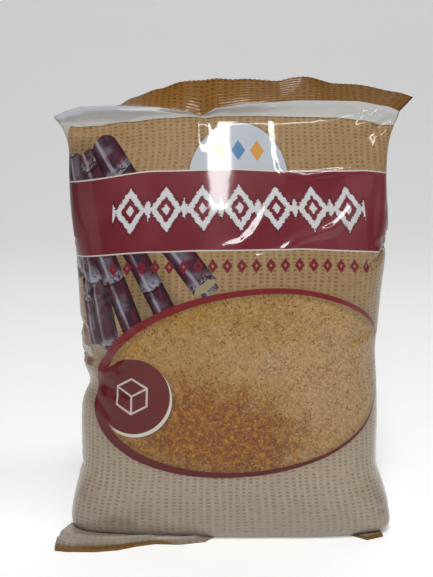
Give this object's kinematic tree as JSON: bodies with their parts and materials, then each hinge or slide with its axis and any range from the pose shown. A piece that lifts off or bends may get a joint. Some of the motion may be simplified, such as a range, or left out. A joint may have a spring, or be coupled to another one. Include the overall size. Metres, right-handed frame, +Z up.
{
  "type": "pouch of brown sugar",
  "caption": "Shut pillow pouch of printed plastic film, filled with brown sugar, standing on its settled base with crimped fins at top and bottom.",
  "frame": {"origin": "centre of the bounding box at table level, under the settled base", "axes": "+Z up along the pouch, +X to the right of the printed front, the front facing -Y"},
  "size_m": [0.1702, 0.0736, 0.2106],
  "materials": {
    "printed_film": "glossy heat-sealed film printed with a sacking weave, wine-red bands and an oval of sugar grains"
  },
  "bodies": {
    "root": {"pouch": "printed_film"}
  },
  "joints": []
}
